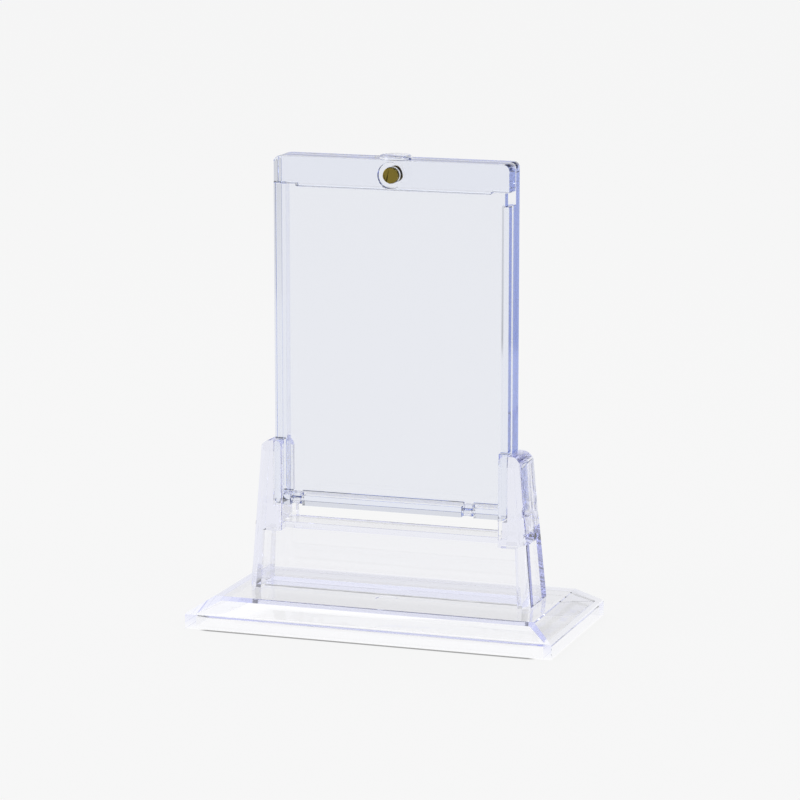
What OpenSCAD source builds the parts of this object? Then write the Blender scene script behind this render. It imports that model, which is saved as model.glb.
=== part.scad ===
// Clear card display case: a magnetic card holder standing in a slotted upright
// on a bevelled tray. Millimetres, +Z up, front toward -Y.
// Origin: centre of the tray's foot, on the surface that it stands on.

/* [Tray] */
// Width of the tray at its foot
tray_w = 119; // [112:0.5:130]
// Depth of the tray at its foot
tray_d = 58.6; // [54:0.2:68]
// Height of the upright lip around the tray
lip_h = 4.8; // [4:0.1:5.6]
// Height of the tray's top face above the foot
tray_h = 9.6; // [9:0.1:12]
// Distance the bevel runs in at each end
bevel_x = 7.5; // [5:0.1:8.4]
// Distance the bevel runs in at front and rear
bevel_y = 6.8; // [5:0.1:8]
// Wall thickness of the tray
tray_wall = 3; // [2.4:0.1:3.4]
// Radius of the round turn between the tray's lip and its bevel
lip_r = 0.6; // [0.4:0.1:2]

/* [Upright] */
// Height of the post tops above the foot
post_top_z = 56.8; // [50:0.1:66]
// Height of the web's top face, between the posts
web_top_z = 30.5; // [27:0.1:33]
// Wall thickness of the hollow web
web_wall = 2.2; // [1.8:0.1:2.6]
// Depth from the slot's centre plane to the web's front face
web_front = 3.7; // [3.2:0.1:4.2]
// Thickness of a post beyond the slot's end wall, at its top
post_wall_top = 3.85; // [3:0.05:5]
// Thickness of a post beyond the slot's end wall, at its foot
post_wall_foot = 7.8; // [7:0.1:8.6]
// Width by which each flange laps over the holder's edge
flange_lap = 2.6; // [1.6:0.1:2.8]
// Thickness of the front flanges
flange_front = 2.3; // [2:0.1:3]
// Thickness of the rear flanges above the shoulder
flange_rear = 1.6; // [1.4:0.1:2.4]
// Extra depth of the rear face at the foot
rear_foot = 2.6; // [2:0.1:3.4]
// Height of the small shoulder across the posts' rear faces
shoulder_z = 34.6; // [33.4:0.1:37]
// Radius of the web's rear top edge
web_round = 2.5; // [1.5:0.1:2.6]
// Chamfer along the post tops
post_chamfer = 2.6; // [1.5:0.1:3]
// Radius of the posts' outer shoulders
post_round = 3; // [1:0.1:3.4]
// Radius along the posts' outer front edges
post_edge_r = 2.4; // [1:0.1:2.8]
// Radius along the flanges' inner front edges
nose_r = 1.4; // [0.6:0.1:2]
// Radius of the flanges' inner top corners
nose_top_r = 2.2; // [1:0.1:2.6]
// Play between the holder and the slot, on each side
slot_play = 0.35; // [0.3:0.05:0.5]
// Width of a front foot where it meets the tray
front_foot_w = 3.6; // [3:0.1:4.4]

/* [Card holder] */
// Width of the closed holder
holder_w = 76.2; // [72:0.2:82]
// Height of the closed holder, without its thumb pad
holder_h = 110; // [104:0.5:118]
// Thickness of the closed holder
holder_t = 11; // [10.4:0.1:12]
// Height of the holder's lower edge above the foot
holder_z = 36.4; // [35:0.1:40]
// Thickness of the front cover's window
cover_t = 3.4; // [3.2:0.1:3.6]
// Height of the thick head at the cover's top
head_h = 8.6; // [8.4:0.1:10]
// Drop of the head's middle, which stops the card's top edge
stop_h = 0.8; // [0.4:0.1:1.2]
// Half-width of the head's lower middle
stop_hw = 31.6; // [30:0.1:33]
// Thickness of the rear shell behind the head
lip_t = 3.9; // [3.8:0.1:4.1]
// Width of each side rail
rail_w = 3.05; // [2.6:0.05:3.4]
// Gap between cover and shell
part_gap = 0.3; // [0.3:0.05:0.4]
// Depth of the card space behind the window
card_t = 3.6; // [3.5:0.1:3.8]
// Radius of the holder's outer corners
corner_r = 1.8; // [1:0.1:2.4]
// Height of the finger notch under the head, on the right side
notch_h = 3.9; // [3:0.1:5]
// Depth of the finger notch into the cover's edge
notch_d = 1.3; // [0.8:0.1:2]
// Radius of the round thumb pad on the head
pad_r = 4.8; // [4:0.1:5]
// Height of the thumb pad
pad_h = 1.1; // [0.8:0.1:2]
// Clearance under the thumb pad's rear part
pad_gap = 0.4; // [0.3:0.05:0.6]

/* [Hinge] */
// Height of the hinge pin above the holder's lower edge
pin_rise = 1.9; // [1.8:0.05:2]
// Radius of the moulded hinge pins
pin_r = 0.9; // [0.8:0.05:1]
// Radial play between pin and knuckle
pin_play = 0.05; // [0.02:0.01:0.08]
// Radius of the cover's knuckles
knuckle_r = 1.65; // [1.65:0.05:1.75]
// Width of each knuckle
knuckle_w = 3; // [2.6:0.1:3.4]
// Place of the left knuckle
knuckle_left = -31.2; // [-32:0.1:-24]
// Place of the right knuckle
knuckle_right = 25.2; // [24:0.1:32]
// Height of the bottom rail that the knuckles sit in
bottom_rail_h = 3.3; // [3:0.1:3.4]

/* [Magnets] */
// Radius of the magnet discs
magnet_r = 2.5; // [2:0.1:3]
// Length of the cover's magnet
cover_magnet_l = 3.2; // [2.4:0.1:4]
// Length of the shell's magnet
shell_magnet_l = 1.8; // [1.4:0.1:2]
// Distance of the magnets below the holder's top edge
magnet_drop = 4.7; // [4.4:0.1:5]
// Distance of the magnet's face behind the head's face
magnet_inset = 0.2; // [0:0.1:0.6]
// Radius of the round recess that the magnet stands in
ring_r = 4.1; // [3.6:0.1:4.2]
// Depth of the round recess
ring_t = 1.3; // [0.8:0.1:1.6]

/* [Hidden] */
far = 200;
eps = 0.01;
clear_rgb = [0.86, 0.88, 0.95, 0.4];
gold_rgb = [0.72, 0.58, 0.26];
round_fn = 40;
pin_fn = 36;

holder_hw = holder_w / 2;
holder_y = holder_t / 2;
holder_top = holder_z + holder_h;
slot_hw = holder_hw + slot_play;
slot_y = holder_y + slot_play;
front_y = -slot_y - flange_front;
rear_y = slot_y + flange_rear;
rear_shoulder_y = rear_y + 1;
rear_foot_y = rear_y + rear_foot;
post_hw_top = slot_hw + post_wall_top;
post_hw_foot = slot_hw + post_wall_foot;
gap_hw = holder_hw - flange_lap;
flange_low_z = web_top_z - web_wall;
chamfer_low_z = post_top_z - 1.2 * post_chamfer;
inner_r = 0.4;
gate_r = 3.4;
gate_t = 0.2;
gate_y = -9;
plug_z = tray_h - tray_wall;
plug_inset = 1.1;
plug_wall = 1.4;
plug_play = 0.1;
plug_hw = post_hw_foot - plug_inset - plug_play;
plug_front = -web_front + plug_inset;
plug_rear = rear_foot_y - plug_inset;
rest_rib_t = 1.6;
rest_top_z = holder_z - part_gap;

seam_y = -holder_y + cover_t + part_gap;
head_low_z = holder_top - head_h;
head_back_y = holder_y - lip_t - part_gap;
rail_hw = holder_hw - rail_w;
card_y = seam_y + card_t;
lip_y = holder_y - lip_t;
rail_top_z = head_low_z - part_gap;
notch_low_z = rail_top_z - notch_h;
magnet_z = holder_top - magnet_drop;
magnet_play = 0.05;
magnet_front = -holder_y + magnet_inset;
shell_magnet_y = lip_y + part_gap;
pin_y = -holder_y + knuckle_r;
pin_z = holder_z + pin_rise;
window_low_z = pin_z + 2.6;
slit_hw = knuckle_w / 2 + 0.5;
knuckles = [knuckle_left, knuckle_right];
lean = atan2(post_hw_foot - post_hw_top, post_top_z - tray_h);
rear_lean = atan2(rear_foot_y - rear_shoulder_y, shoulder_z - tray_h);
hold_z = post_top_z + 0.2;
swing_hw = gap_hw - part_gap;

// A profile in X and Z, drawn out along Y between two depths.
module along_y(y0, y1) {
    translate([0, y1, 0])
        rotate([90, 0, 0])
            linear_extrude(height = y1 - y0)
                children();
}

// A profile in Y and Z, drawn out along X between two half-widths.
module along_x(hw) {
    translate([-hw, 0, 0])
        rotate([90, 0, 90])
            linear_extrude(height = 2 * hw)
                children();
}

// A box given by its low and high corners.
module span(low, high) {
    translate(low)
        cube(high - low);
}

// Copies a feature to both sides of the centre plane.
module both_sides() {
    children();
    mirror([1, 0, 0])
        children();
}

// One side view of a bevelled block: an upright lip that turns into a slope.
module bevel_profile(half, low, edge, high, run, r) {
    slope = atan2(high - edge, run);
    turn_z = edge - r * (1 - sin(slope)) / cos(slope);
    tip_x = half - r + r * sin(slope);
    tip_z = turn_z + r * cos(slope);
    polygon([
        [-half, low], [half, low], [half, turn_z], [tip_x, tip_z],
        [half - run, high], [run - half, high], [-tip_x, tip_z], [-half, turn_z]
    ]);
    for (x = [r - half, half - r])
        translate([x, turn_z])
            circle(r = r, $fn = round_fn);
}

// A block that is bevelled on all four sides.
module bevelled(hw, hd, low, edge, high, run_x, run_y, r) {
    intersection() {
        along_y(-far, far)
            bevel_profile(hw, low, edge, high, run_x, r);
        along_x(far)
            bevel_profile(hd, low, edge, high, run_y, r);
    }
}

// What a rounding takes off a straight edge at the origin that runs up along Z
// and has its solid toward -X and +Y.
module edge_round(r, h) {
    difference() {
        translate([-r, -1, 0])
            cube([r + 1, r + 1, h]);
        translate([-r, r, -1])
            cylinder(r = r, h = h + 2, $fn = round_fn);
    }
}

// The flat-lying outline of the holder, rounded at its four corners.
module rounded_panel(hw, low, high, r) {
    for (x = [-hw + r, hw - r])
        for (z = [low + r, high - r])
            translate([x, z])
                circle(r = r, $fn = round_fn);
    translate([-hw + r, low])
        square([2 * (hw - r), high - low]);
    translate([-hw, low + r])
        square([2 * hw, high - low - 2 * r]);
}

// The tray: a thin bevelled shell, open below, with a window for the upright.
module base_tray() {
    slope = tray_wall * 0.42;
    color(clear_rgb)
        difference() {
            bevelled(tray_w / 2, tray_d / 2, 0, lip_h, tray_h, bevel_x, bevel_y, lip_r);
            bevelled(
                tray_w / 2 - tray_wall, tray_d / 2 - tray_wall, -1,
                lip_h - slope, tray_h - tray_wall, bevel_x - slope, bevel_y - slope, inner_r
            );
            span(
                [-plug_hw - plug_play, plug_front - plug_play, 0],
                [plug_hw + plug_play, plug_rear + plug_play, tray_h + 1]
            );
            // the shallow round mark that the moulding gate leaves
            translate([0, gate_y, tray_h - gate_t])
                cylinder(r = gate_r, h = 1, $fn = round_fn);
        }
}

// The upright seen from the front: tapered posts with round shoulders.
module upright_front() {
    turn_z = post_top_z - post_round;
    turn_x = post_hw_top + post_round * tan(lean) - post_round / cos(lean);
    polygon([
        [-post_hw_foot, tray_h], [post_hw_foot, tray_h],
        [turn_x + post_round * cos(lean), turn_z + post_round * sin(lean)],
        [turn_x, post_top_z], [-turn_x, post_top_z],
        [-turn_x - post_round * cos(lean), turn_z + post_round * sin(lean)]
    ]);
    for (x = [-turn_x, turn_x])
        translate([x, turn_z])
            circle(r = post_round, $fn = round_fn);
}

// The outer form of the upright, before anything is cut out of it.
module upright_body() {
    intersection() {
        along_y(-far, far)
            upright_front();
        along_x(far)
            polygon([
                [front_y, tray_h], [rear_foot_y, tray_h],
                [rear_shoulder_y, shoulder_z], [rear_y + 0.3, shoulder_z + 2.4],
                [rear_y, chamfer_low_z], [rear_y - 0.9 * post_chamfer, post_top_z],
                [front_y + 0.7 * post_chamfer, post_top_z], [front_y, chamfer_low_z]
            ]);
    }
}

// What the roundings take off one post: its outer front edge, the flange's inner
// front edge and the flanges' inner top corners.
module post_rounding() {
    translate([post_hw_foot, front_y, tray_h])
        rotate([0, -lean, 0])
            translate([0, 0, -1])
                edge_round(post_edge_r, far);
    translate([gap_hw, front_y, 0])
        mirror([1, 0, 0])
            edge_round(nose_r, far);
    translate([gap_hw, -far, post_top_z])
        mirror([1, 0, 0])
            rotate([-90, 0, 0])
                edge_round(nose_top_r, 2 * far);
}

// What the rounding takes off the web's rear top edge, between the posts.
module web_rounding() {
    turn_z = web_top_z - web_round;
    turn_y = rear_shoulder_y + (shoulder_z - turn_z) * tan(rear_lean) - web_round / cos(rear_lean);
    clear_r = 2 * web_round;
    along_x(gap_hw)
        difference() {
            polygon([
                [turn_y, turn_z],
                [turn_y + clear_r * cos(rear_lean), turn_z + clear_r * sin(rear_lean)],
                [turn_y + clear_r * cos(rear_lean), web_top_z + 1],
                [turn_y, web_top_z + 1]
            ]);
            translate([turn_y, turn_z])
                circle(r = web_round, $fn = round_fn);
        }
}

// The hollow inside the web and the lower posts, open at the foot.
module upright_hollow() {
    half_foot = post_hw_foot - 2.5;
    half_top = post_hw_foot - 2.5 - 1.7;
    intersection() {
        along_y(-far, far)
            polygon([
                [-half_foot, 0], [half_foot, 0],
                [half_top, flange_low_z], [-half_top, flange_low_z]
            ]);
        along_x(far)
            polygon([
                [-web_front + web_wall, 0], [rear_foot_y - 2.5, 0],
                [rear_foot_y - 2.5, tray_h], [rear_shoulder_y - 2.3, flange_low_z],
                [-web_front + web_wall, flange_low_z]
            ]);
    }
}

// The upright: two slotted posts joined by a hollow web, with a rim that plugs
// into the tray's window.
module upright() {
    foot_in = post_hw_foot - front_foot_w;
    color(clear_rgb)
        difference() {
            union() {
                difference() {
                    upright_body();
                    // the open space between the posts
                    span([-gap_hw, -far, web_top_z], [gap_hw, far, far]);
                    web_rounding();
                    // the slot that takes the holder
                    span([-slot_hw, -slot_y, web_top_z], [slot_hw, slot_y, far]);
                    // the front face set back below the flanges
                    along_y(-far, -web_front)
                        polygon([
                            [-foot_in, 0], [foot_in, 0],
                            [foot_in - 1.2, flange_low_z], [1.2 - foot_in, flange_low_z]
                        ]);
                    span([-gap_hw, -far, flange_low_z], [gap_hw, -web_front, far]);
                    both_sides()
                        post_rounding();
                }
                // the rim below the web
                span([-plug_hw, plug_front, plug_z], [plug_hw, plug_rear, tray_h + 1]);
                // ribs that the holder's lower corners stand on
                both_sides()
                    span(
                        [slot_hw - rest_rib_t, -slot_y - 0.5, web_top_z - 0.5],
                        [slot_hw + 0.5, slot_y + 0.5, rest_top_z]
                    );
            }
            upright_hollow();
            span(
                [-plug_hw + plug_wall, plug_front + plug_wall, 0],
                [plug_hw - plug_wall, plug_rear - plug_wall, tray_h]
            );
        }
}

// The rear shell: a clear slab with the card space, side rails, a bottom rail and
// the moulded hinge pins.
module rear_shell() {
    color(clear_rgb) {
        difference() {
            along_y(-holder_y, holder_y)
                rounded_panel(holder_hw, holder_z, holder_top, corner_r);
            // the space for the cover's head
            span([-far, -far, rail_top_z], [far, lip_y, far]);
            // the space for the cover's window, narrower between the posts
            span([-far, -far, hold_z], [far, seam_y, far]);
            span([-gap_hw, -far, holder_z + bottom_rail_h], [gap_hw, seam_y, far]);
            // the card space between the rails
            span([-rail_hw, -far, holder_z + bottom_rail_h], [rail_hw, card_y, rail_top_z]);
            // the finger notch in the right rail
            span([rail_hw - eps, -far, notch_low_z], [far, lip_y, far]);
            // the two slits that the knuckles turn in
            for (x = knuckles)
                span([x - slit_hw, -far, 0], [x + slit_hw, pin_y + 2.3, window_low_z]);
            // the seat under the thumb pad
            translate([0, 0, holder_top - pad_gap])
                cylinder(r = pad_r + pad_gap, h = far, $fn = round_fn);
            // the pocket for the shell's magnet
            translate([0, shell_magnet_y + shell_magnet_l, magnet_z])
                rotate([90, 0, 0])
                    cylinder(r = magnet_r + magnet_play, h = far, $fn = round_fn);
        }
        for (x = knuckles)
            translate([x - slit_hw - 0.4, pin_y, pin_z])
                rotate([0, 90, 0])
                    cylinder(r = pin_r, h = 2 * slit_hw + 0.8, $fn = pin_fn);
    }
}

// The front cover: a thin window with a thick head, a round thumb pad on the head
// and two knuckles. Its lower part is narrower, to swing out between the posts.
module front_cover() {
    color(clear_rgb)
        difference() {
            union() {
                intersection() {
                    along_y(-holder_y, head_back_y)
                        rounded_panel(holder_hw, holder_z, holder_top, corner_r);
                    span([-far, -far, head_low_z], [far, far, far]);
                }
                span([-stop_hw, -holder_y, head_low_z - stop_h], [stop_hw, head_back_y, head_low_z + 1]);
                span(
                    [-holder_hw, -holder_y, hold_z + part_gap],
                    [holder_hw, -holder_y + cover_t, head_low_z + 1]
                );
                span(
                    [-swing_hw, -holder_y, window_low_z],
                    [swing_hw, -holder_y + cover_t, hold_z + 1]
                );
                translate([0, 0, holder_top])
                    cylinder(r = pad_r, h = pad_h, $fn = round_fn);
                for (x = knuckles) {
                    translate([x - knuckle_w / 2, pin_y, pin_z])
                        rotate([0, 90, 0])
                            cylinder(r = knuckle_r, h = knuckle_w, $fn = pin_fn);
                    span(
                        [x - knuckle_w / 2, -holder_y, pin_z],
                        [x + knuckle_w / 2, -holder_y + cover_t, window_low_z + 1]
                    );
                }
            }
            for (x = knuckles)
                translate([x - slit_hw, pin_y, pin_z])
                    rotate([0, 90, 0])
                        cylinder(r = pin_r + pin_play, h = 2 * slit_hw, $fn = pin_fn);
            // the finger notch in the right edge
            span([holder_hw - notch_d, -far, notch_low_z], [far, far, head_low_z]);
            // the round recess and the magnet's blind pocket
            translate([0, -holder_y + ring_t, magnet_z])
                rotate([90, 0, 0])
                    cylinder(r = ring_r, h = far, $fn = round_fn);
            translate([0, magnet_front + cover_magnet_l, magnet_z])
                rotate([90, 0, 0])
                    cylinder(r = magnet_r + magnet_play, h = far, $fn = round_fn);
        }
}

// The magnet disc set into the rear shell.
module shell_magnet() {
    color(gold_rgb)
        translate([0, shell_magnet_y + shell_magnet_l, magnet_z])
            rotate([90, 0, 0])
                cylinder(r = magnet_r, h = shell_magnet_l, $fn = round_fn);
}

// The magnet disc set into the cover's head.
module cover_magnet() {
    color(gold_rgb)
        translate([0, magnet_front + cover_magnet_l, magnet_z])
            rotate([90, 0, 0])
                cylinder(r = magnet_r, h = cover_magnet_l, $fn = round_fn);
}

base_tray();
upright();
rear_shell();
front_cover();
shell_magnet();
cover_magnet();
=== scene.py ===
# %% [markdown]
# # A clear display case for a trading card
#
# The real object is moulded from clear plastic with a faint blue cast. A flat card
# holder, closed by two small magnets, stands in a slotted upright, and the upright
# is plugged into a bevelled tray.
#
# Almost everything that the eye sees in such an object is light that the plastic
# bends, traps or tints. This lesson therefore spends most of its steps on the
# plastic, its edges and its surroundings.

# %% Open the frame
import bpy
import math
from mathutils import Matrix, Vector

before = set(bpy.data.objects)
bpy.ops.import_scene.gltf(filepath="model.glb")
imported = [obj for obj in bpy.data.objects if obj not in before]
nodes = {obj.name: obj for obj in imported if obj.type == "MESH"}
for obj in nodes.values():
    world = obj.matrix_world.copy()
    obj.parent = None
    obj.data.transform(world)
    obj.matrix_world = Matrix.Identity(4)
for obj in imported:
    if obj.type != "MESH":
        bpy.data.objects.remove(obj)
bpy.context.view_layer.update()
print("parts:", sorted(nodes))

# %% [markdown]
# ## The camera
#
# The case is seen from its front right, a little from above, through a long lens, so
# that its upright lines stay nearly parallel. A camera could be placed by eye, but
# turn, height and distance are easier to correct when each is a number of its own.
# The aim point is set a few pixels off the middle of the picture, which is done by
# turning the camera and not by shifting its sensor.

# %% Place the camera
PICTURE = 800
FOCAL = 3581.9
TURN, RAISE = math.radians(18.988), math.radians(10.718)
AIM = Vector((-0.00086, -0.0003, 0.07421))
AIM_PIXEL = (392.898, 389.661)
DISTANCE = 1.112
SENSOR = 36

away = Vector((
    math.sin(TURN) * math.cos(RAISE),
    -math.cos(TURN) * math.cos(RAISE),
    math.sin(RAISE),
))
side = Vector((math.cos(TURN), math.sin(TURN), 0))
upward = away.cross(side)
off_middle = side * (PICTURE / 2 - AIM_PIXEL[0]) + upward * (AIM_PIXEL[1] - PICTURE / 2)
look = off_middle - away * FOCAL

bpy.ops.object.camera_add(location=AIM + away * DISTANCE)
camera = bpy.context.object
camera.rotation_euler = look.to_track_quat("-Z", "Y").to_euler()
camera.data.sensor_width = SENSOR
camera.data.lens = SENSOR * FOCAL / PICTURE
camera.data.clip_start = 0.01
camera.data.clip_end = 20
bpy.context.scene.camera = camera
print("lens", round(camera.data.lens, 1), "mm, camera", [round(v, 3) for v in camera.location])

# %% [markdown]
# ## Room for the light to bounce
#
# Inside a clear sheet, light that meets a face at a flat angle is thrown back and
# runs on, often ten or twenty times, before it leaves through an edge. With Blender's
# usual limit of twelve bounces, such a ray is dropped and the edge turns black. A
# higher limit costs some time, and it is the only honest way to a bright, blue edge.

# %% Allow many bounces
BOUNCES = 48
cycles = bpy.context.scene.cycles
cycles.max_bounces = BOUNCES
cycles.transmission_bounces = BOUNCES
cycles.glossy_bounces = BOUNCES
bpy.context.scene.view_settings.view_transform = "Standard"
print("bounces:", cycles.max_bounces)

# %% [markdown]
# ## Small helpers for node trees
#
# Each finish below is a short chain of nodes. A few helpers keep the chains readable:
# one adds a node and fills or links its inputs, one does a step of arithmetic, and one
# starts a new material. Two more handle brightness: fade turns a distance or an angle
# into a smooth step, and blend chooses between two levels by a share from 0 to 1.

# %% Node helpers
def node(tree, kind, settings=None, **inputs):
    """Adds a node, sets its properties, and fills or links the inputs named."""
    made = tree.nodes.new(kind)
    for name, value in (settings or {}).items():
        setattr(made, name, value)
    for name, value in inputs.items():
        key = int(name[1:]) if name[0] == "i" and name[1:].isdigit() else name.replace("_", " ")
        if isinstance(value, bpy.types.NodeSocket):
            tree.links.new(value, made.inputs[key])
        else:
            made.inputs[key].default_value = value
    return made


def calc(tree, operation, first, second=0.0):
    """One step of arithmetic on two values or sockets."""
    made = node(tree, "ShaderNodeMath", {"operation": operation}, i0=first, i1=second)
    return made.outputs[0]


def fade(tree, value, span, at_low, at_high):
    """Maps a value smoothly from one brightness to another over a span."""
    made = node(
        tree, "ShaderNodeMapRange", {"interpolation_type": "SMOOTHSTEP"},
        Value=value, From_Min=span[0], From_Max=span[1], To_Min=at_low, To_Max=at_high,
    )
    return made.outputs[0]


def blend(tree, share, first, second):
    """first where share is 0 and second where it is 1."""
    made = node(tree, "ShaderNodeMix", {"data_type": "FLOAT"}, i0=share, i2=first, i3=second)
    return made.outputs[0]


def new_finish(name):
    """An empty material with its shader ready."""
    made = bpy.data.materials.new(name)
    made.use_nodes = True
    return made, made.node_tree, made.node_tree.nodes["Principled BSDF"]


print("helpers:", ", ".join(f.__name__ for f in (node, calc, fade, blend, new_finish)))

# %% [markdown]
# ## Clear plastic
#
# The plastic is close to colourless through the window and plainly blue where it is
# seen along its edge, because there the light has come a long way through it. A
# tinted surface would colour both alike. An absorbing volume tints by the length of
# the way, as the real plastic does: red is lost first, then green. The holder is a
# little bluer than the stand, so each has losses of its own.
#
# The surface is fully clear. A small share of matt white is a tempting way to soften
# it, but light that is trapped in an edge meets the surface dozens of times, and a few
# hundredths lost each time turn the bright edge grey.
#
# A moulded face is never quite flat. A slow, very shallow ripple bends the lines that
# are seen through it.

# %% Clear plastic
DENSITY = 20.0
STAND_LOSS = (7.0, 6.5, 1.0)     # how fast red, green and blue fade, per metre
HOLDER_LOSS = (13.0, 10.4, 2.6)
PLASTIC_IOR = 1.5
RIPPLE_SHARE = 0.05
STAND_RIPPLE = (60.0, 0.0004)    # scale, and height in metres before its share
HOLDER_RIPPLE = (45.0, 0.0002)


def clear_plastic(name, loss, ripple):
    """Transparent plastic with its own tint and a gentle moulding ripple."""
    finish, tree, shader = new_finish(name)
    shader.inputs["Base Color"].default_value = (1, 1, 1, 1)
    shader.inputs["Roughness"].default_value = 0.0
    shader.inputs["IOR"].default_value = PLASTIC_IOR
    shader.inputs["Transmission Weight"].default_value = 1.0
    tint = tuple(1 - lost / DENSITY for lost in loss) + (1,)
    inside = node(tree, "ShaderNodeVolumeAbsorption", Color=tint, Density=DENSITY)
    tree.links.new(inside.outputs[0], tree.nodes["Material Output"].inputs["Volume"])
    place = node(tree, "ShaderNodeTexCoord").outputs["Object"]
    scale, height = ripple
    slow = node(tree, "ShaderNodeTexNoise", Vector=place, Scale=scale, Detail=2.0)
    wavy = node(
        tree, "ShaderNodeBump",
        Height=slow.outputs[0], Strength=RIPPLE_SHARE, Distance=height,
    )
    tree.links.new(wavy.outputs[0], shader.inputs["Normal"])
    return finish


stand_plastic = clear_plastic("clear plastic of the stand", STAND_LOSS, STAND_RIPPLE)
holder_plastic = clear_plastic("clear plastic of the holder", HOLDER_LOSS, HOLDER_RIPPLE)
print("plastic finishes:", stand_plastic.name, "|", holder_plastic.name)

# %% [markdown]
# ## Gold plating
#
# The two magnets are discs with a thin gold-coloured plating. Fine rings on their
# flat faces catch the light as turned metal does, and the plating is a little uneven.
# The rings could be a picture laid on the disc. A wave pattern round the magnet's own
# axis is simpler and stays sharp at any distance.

# %% Gold plating
MAGNET_Z = 0.1417                # height of the magnets' axis
GOLD_LIGHT, GOLD_DARK = (0.32, 0.245, 0.045, 1), (0.26, 0.2, 0.045, 1)
GOLD_ROUGHNESS = (0.18, 0.3)
GOLD_GRAIN = 900.0
RING_SHARE, RING_DEPTH = 0.1, 0.00002


def gold_plating(name):
    """Metal with fine turned rings around the magnet's axis."""
    finish, tree, shader = new_finish(name)
    shader.inputs["Metallic"].default_value = 1.0
    place = node(tree, "ShaderNodeTexCoord").outputs["Object"]
    patches = node(tree, "ShaderNodeTexNoise", Vector=place, Scale=GOLD_GRAIN, Detail=3.0)
    colour = node(
        tree, "ShaderNodeMix", {"data_type": "RGBA"},
        i0=patches.outputs[0], i6=GOLD_LIGHT, i7=GOLD_DARK,
    )
    tree.links.new(colour.outputs[2], shader.inputs["Base Color"])
    least, most = GOLD_ROUGHNESS
    gloss = node(tree, "ShaderNodeMapRange", Value=patches.outputs[0], To_Min=least, To_Max=most)
    tree.links.new(gloss.outputs[0], shader.inputs["Roughness"])
    centred = node(tree, "ShaderNodeMapping", Vector=place, Location=(0, 0, -MAGNET_Z))
    rings = node(
        tree, "ShaderNodeTexWave",
        {"wave_type": "RINGS", "rings_direction": "Y"},
        Vector=centred.outputs[0], Scale=GOLD_GRAIN, Distortion=1.0,
    )
    turned = node(
        tree, "ShaderNodeBump",
        Height=rings.outputs[1], Strength=RING_SHARE, Distance=RING_DEPTH,
    )
    tree.links.new(turned.outputs[0], shader.inputs["Normal"])
    return finish


plating = gold_plating("gold plating")
print("metal finish:", plating.name)

# %% [markdown]
# ## Soft edges
#
# A mould has no knife edges, and each rounded edge of a clear part is a tiny lens
# that draws a thin bright or dark line. Rounding could be built into the solids, but
# it would multiply their faces. A modifier rounds them for the looks alone.
#
# Each part gets its own width. The holder's lines are the strongest, so its cover has
# the widest edges. The rear shell has a step of only 0.2 mm in its recess, so its
# edges stay under half of that. The tray and the upright have short edges too, which
# a wider rounding would overrun.

# %% Widths and finishes
EDGE_WIDTH = {
    "base_tray": 0.00004,
    "upright": 0.00003,
    "rear_shell": 0.000095,
    "front_cover": 0.0002,
    "shell_magnet": 0.0002,
    "cover_magnet": 0.0002,
}
FINISH = {
    "base_tray": stand_plastic,
    "upright": stand_plastic,
    "rear_shell": holder_plastic,
    "front_cover": holder_plastic,
    "shell_magnet": plating,
    "cover_magnet": plating,
}
for part, width in EDGE_WIDTH.items():
    print(part, "gets", FINISH[part].name, "and edges of", round(width * 1000, 3), "mm")

# %% [markdown]
# ## Joined, parted and rounded
#
# The parts come as loose triangles, and a Bevel can only round an edge that two faces
# share. So a Weld joins their corners first. In the two shells, a Decimate then joins
# the triangles of each flat face, so that no long, thin ones catch the light.
#
# Parts that are plugged together have air between them, and that air is what makes
# the joint visible. A Displace draws such a part in by a fiftieth of a millimetre.
#
# Modifiers leave the part's own mesh as it is, so the solid can be built again and
# dressed the same way. The Bevel's clamp stays off, because one very short edge would
# otherwise shrink the rounding of the whole part to nothing.

# %% Dress the CAD parts
PLUGGED = ("upright", "shell_magnet", "cover_magnet")
WHOLE_FACES = ("rear_shell", "front_cover")
FITTING_GAP = 0.00002
JOIN = 0.00002
SHARP = math.radians(35)
FLAT = math.radians(0.5)


def dress(part):
    """Gives a CAD part its finish and soft edges."""
    piece = nodes[part]
    piece.data.materials.clear()
    piece.data.materials.append(FINISH[part])
    weld = piece.modifiers.new("join corners", "WELD")
    weld.merge_threshold = JOIN
    if part in PLUGGED:
        air = piece.modifiers.new("fitting gap", "DISPLACE")
        air.direction = "NORMAL"
        air.mid_level = 0.0
        air.strength = -FITTING_GAP
    if part in WHOLE_FACES:
        flat = piece.modifiers.new("whole faces", "DECIMATE")
        flat.decimate_type = "DISSOLVE"
        flat.angle_limit = FLAT
    soft = piece.modifiers.new("soft edges", "BEVEL")
    soft.width = EDGE_WIDTH[part]
    soft.segments = 2
    soft.limit_method = "ANGLE"
    soft.angle_limit = SHARP
    soft.use_clamp_overlap = False
    print(part, "dressed by", ", ".join(m.name for m in piece.modifiers))


for part in EDGE_WIDTH:
    dress(part)

# %% [markdown]
# ## The studio
#
# Clear plastic has hardly any colour of its own and shows its surroundings. Seen
# straight through, it should show the same pale floor that lies around it. In its
# edges and reflections it should show a real room as well, which is darker in front
# of the object and darker still to its right. Light Path tells the two apart: a ray
# that has been mirrored at least once gets the darker room, and all others get the
# pale one. Rays that are mirrored again and again belong to light that runs along
# inside the plastic, and they slowly return to the pale level.

# %% Brightness by direction
PALE = 0.93
ROOM_DARK = 0.25
ROOM_FRONT = 0.64
BRIGHT_SIDE = math.radians(60)
BACKDROP = (-math.sin(BRIGHT_SIDE), math.cos(BRIGHT_SIDE), 0.0)
BACKDROP_EDGE = (0.1, 0.24)      # where the backdrop ends, as a cosine from its middle
FRONT_EDGE = (-0.3, 0.1)         # where the front of the room ends, along Y
WASHED_OUT = (1.0, 9.0)          # reflections over which the room fades to pale


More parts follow.
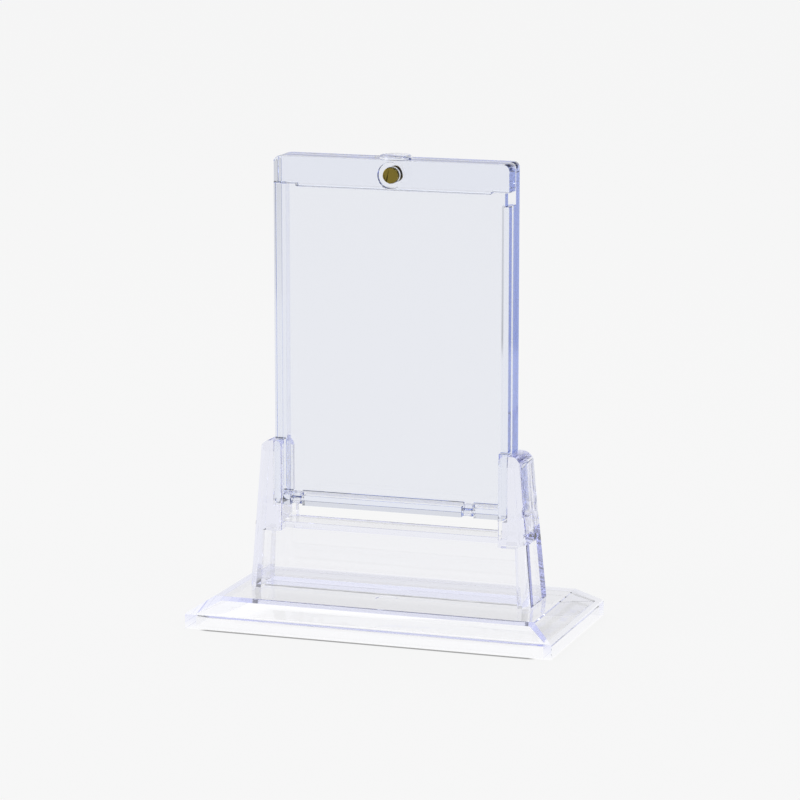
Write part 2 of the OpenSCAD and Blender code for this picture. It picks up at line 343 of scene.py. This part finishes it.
def mirrored(tree, path):
    """1 for a ray that was mirrored once on its way, less for more often, 0 for never."""
    depth = path.outputs["Glossy Depth"]
    once_or_more = calc(tree, "GREATER_THAN", depth, 0.5)
    return calc(tree, "MULTIPLY", once_or_more, fade(tree, depth, WASHED_OUT, 1.0, 0.0))


def seen_directly(tree, path):
    """1 for what the camera sees directly, in a mirror or through plastic."""
    either = calc(tree, "MAXIMUM", path.outputs["Is Camera Ray"], path.outputs["Is Glossy Ray"])
    return calc(tree, "MAXIMUM", either, path.outputs["Is Transmission Ray"])


def room_around(tree, direction):
    """Brightness of the room in a level direction: pale behind the case, else dark."""
    vector = "ShaderNodeVectorMath"
    level_part = node(tree, vector, {"operation": "MULTIPLY"}, i0=direction, i1=(1, 1, 0))
    unit = node(tree, vector, {"operation": "NORMALIZE"}, i0=level_part.outputs[0])
    facing = node(tree, vector, {"operation": "DOT_PRODUCT"}, i0=unit.outputs[0], i1=BACKDROP)
    axes = node(tree, "ShaderNodeSeparateXYZ", Vector=unit.outputs[0])
    dim = fade(tree, axes.outputs["Y"], FRONT_EDGE, ROOM_FRONT, ROOM_DARK)
    pale = fade(tree, facing.outputs["Value"], BACKDROP_EDGE, 0.0, 1.0)
    return blend(tree, pale, dim, PALE)


print("room: pale", PALE, "front", ROOM_FRONT, "dark", ROOM_DARK)

# %% [markdown]
# ## The floor
#
# The floor is a matt surface that catches the case's shadow, mixed with a glow that
# is seen only by the camera, in reflections and through the plastic. A lamp bright
# enough to give that pale level would wash out the case, so the glow does it.

# %% Lay the floor
FLOOR_SIZE = 8
FLOOR_GREY = 0.75

bpy.ops.object.select_all(action="DESELECT")
bpy.ops.mesh.primitive_plane_add(size=FLOOR_SIZE)
floor = bpy.context.object
floor.name = "floor"

floor_finish, tree, matt = new_finish("pale floor")
matt.inputs["Base Color"].default_value = (FLOOR_GREY, FLOOR_GREY, FLOOR_GREY, 1)
matt.inputs["Roughness"].default_value = 1.0
matt.inputs["Specular IOR Level"].default_value = 0.0
print("floor:", FLOOR_SIZE, "m wide, matt grey", FLOOR_GREY)

# %% [markdown]
# ## What the floor shows in reflections
#
# A floor of one colour would leave the case's sides without contrast, so in
# reflections the floor is as dark as the room beyond it. A strip of it, from just
# before the case to well behind it, stays pale there too, as a sheet of paper under
# the case would.

# %% Pale strip and darker room
STRIP_Y, STRIP_EDGE = 0.19, (0.26, 0.32)

path = node(tree, "ShaderNodeLightPath")
spot = node(tree, "ShaderNodeTexCoord").outputs["Object"]
across = node(tree, "ShaderNodeSeparateXYZ", Vector=spot)
off_strip = calc(tree, "ABSOLUTE", calc(tree, "SUBTRACT", across.outputs["Y"], STRIP_Y))
past_strip = fade(tree, off_strip, STRIP_EDGE, 0.0, 1.0)
room = blend(tree, past_strip, PALE, room_around(tree, spot))
level = blend(tree, mirrored(tree, path), PALE, room)
near_end, far_end = STRIP_Y - STRIP_EDGE[0], STRIP_Y + STRIP_EDGE[0]
print("pale strip: Y from", round(near_end, 3), "to", round(far_end, 3), "m")

# %% [markdown]
# ## Where the tray meets the floor
#
# The tray's bevels gather light, so the floor under its rim is a little brighter, and
# the line where its front foot touches the floor is dark. Both are painted into the
# floor's glow by their place: a painted pool of light under the rim and a painted
# contact shadow at the foot. A clear part would throw such light by itself, but it
# comes out as noise unless a picture takes far more samples than it should.

# %% Painted rim light and painted foot shadow
# Painted light under the tray's rim and a painted shadow line at its front foot, both placed on
# the floor by position.
RIM_X, RIM_Y, PAINTED_RIM_LIGHT = (0.044, 0.05), (0.012, 0.018), 0.09
TRAY_X, TRAY_Y = (0.0592, 0.0598), (0.029, 0.0296)
TRAY_EDGE_Y = 0.0293
CONTACT_WIDTH, CONTACT_END, PAINTED_SHADOW_LEVEL = (0.0006, 0.0012), (0.052, 0.055), 0.3

wide = calc(tree, "ABSOLUTE", across.outputs["X"])
deep = calc(tree, "ABSOLUTE", across.outputs["Y"])
rim = calc(
    tree, "MAXIMUM",
    fade(tree, wide, RIM_X, 0.0, 1.0), fade(tree, deep, RIM_Y, 0.0, 1.0),
)
tray = calc(
    tree, "MULTIPLY",
    fade(tree, wide, TRAY_X, 1.0, 0.0), fade(tree, deep, TRAY_Y, 1.0, 0.0),
)
# Painted pool of light: the floor's glow is raised under the tray's rim by this share.
painted_rim_gain = calc(tree, "MULTIPLY", calc(tree, "MULTIPLY", rim, tray), PAINTED_RIM_LIGHT)
level = calc(tree, "MULTIPLY", level, calc(tree, "ADD", 1.0, painted_rim_gain))

# Painted contact shadow: the floor's glow drops to a dark level in a thin strip along the tray's
# front foot.
from_edge = calc(tree, "ABSOLUTE", calc(tree, "ADD", across.outputs["Y"], TRAY_EDGE_Y))
painted_contact_shadow = calc(
    tree, "MULTIPLY",
    fade(tree, from_edge, CONTACT_WIDTH, 1.0, 0.0), fade(tree, wide, CONTACT_END, 1.0, 0.0),
)
level = blend(tree, painted_contact_shadow, level, PAINTED_SHADOW_LEVEL)
print("under the rim:", round(PALE * (1 + PAINTED_RIM_LIGHT), 3), "at the foot:", PAINTED_SHADOW_LEVEL)

# %% [markdown]
# ## Glow and shadow together
#
# The glow alone would lose the case's shadow, so a twentieth of the matt surface is
# mixed in and keeps a faint trace of it. The glow is for the eye only: matt surfaces
# that gather light from the floor see its matt part and nothing else.

# %% Mix the floor's finish
GLOW_SHARE = 0.95

glow = node(tree, "ShaderNodeEmission", Strength=level)
share = calc(tree, "MULTIPLY", seen_directly(tree, path), GLOW_SHARE)
both = node(tree, "ShaderNodeMixShader", i0=share, i1=matt.outputs[0], i2=glow.outputs[0])
tree.links.new(both.outputs[0], tree.nodes["Material Output"].inputs["Surface"])
floor.data.materials.append(floor_finish)
print("floor finish:", floor_finish.name, "with", GLOW_SHARE, "of glow")

# %% [markdown]
# ## The room's walls and ceiling
#
# Above the floor, the world stands in for walls and ceiling. Walls could be built as
# planes, but directions are enough, since nothing comes near them. What is seen in
# the plastic darkens toward the ceiling, which gives upward faces their contrast. The
# camera itself sees the pale level everywhere, and matt surfaces get a plain, even
# light.

# %% The room's walls and ceiling
SKY_LIGHT = 0.85
CEILING_EDGE, ROOM_TOP = (0.15, 0.4), 0.3

room_world = bpy.data.worlds.new("studio room")
bpy.context.scene.world = room_world
room_world.use_nodes = True
tree = room_world.node_tree
tree.nodes.clear()
path = node(tree, "ShaderNodeLightPath")
aim = node(tree, "ShaderNodeTexCoord").outputs["Generated"]
height = node(tree, "ShaderNodeSeparateXYZ", Vector=aim)
ceiling = fade(tree, height.outputs["Z"], CEILING_EDGE, 1.0, ROOM_TOP)
level = blend(tree, mirrored(tree, path), PALE, room_around(tree, aim))
level = calc(tree, "MULTIPLY", level, ceiling)
level = blend(tree, path.outputs["Is Camera Ray"], level, PALE)
level = blend(tree, seen_directly(tree, path), SKY_LIGHT, level)
sky = node(tree, "ShaderNodeBackground", Color=(1, 1, 1, 1), Strength=level)
node(tree, "ShaderNodeOutputWorld", Surface=sky.outputs[0])
print("world: even light", SKY_LIGHT, "ceiling", ROOM_TOP)

# %% [markdown]
# ## Lamps
#
# Large soft lamps give the long clean highlights of a studio picture. One hangs
# overhead, to the left and behind, and lies in the tray's bevels. One stands on the
# left and a narrow one on the right. They are large and weak, because a small strong
# lamp would burn out a patch of the bevel and leave the rest of it dull.

# %% Soft lamps
def soft_lamp(name, place, size, watts):
    """A rectangular lamp that faces the middle of the case."""
    bpy.ops.object.light_add(type="AREA", location=place)
    lamp = bpy.context.object
    lamp.name = name
    lamp.data.shape = "RECTANGLE"
    lamp.data.size, lamp.data.size_y = size
    lamp.data.energy = watts
    lamp.rotation_euler = (AIM - Vector(place)).to_track_quat("-Z", "Y").to_euler()
    print(name, watts, "W")


soft_lamp("left softbox", (-0.9, -0.6, 0.7), (0.5, 0.9), 3)
soft_lamp("right strip", (0.9, -0.3, 0.6), (0.2, 0.9), 2)
soft_lamp("overhead softbox", (-0.34, 0.114, 1.0), (0.9, 0.9), 3)
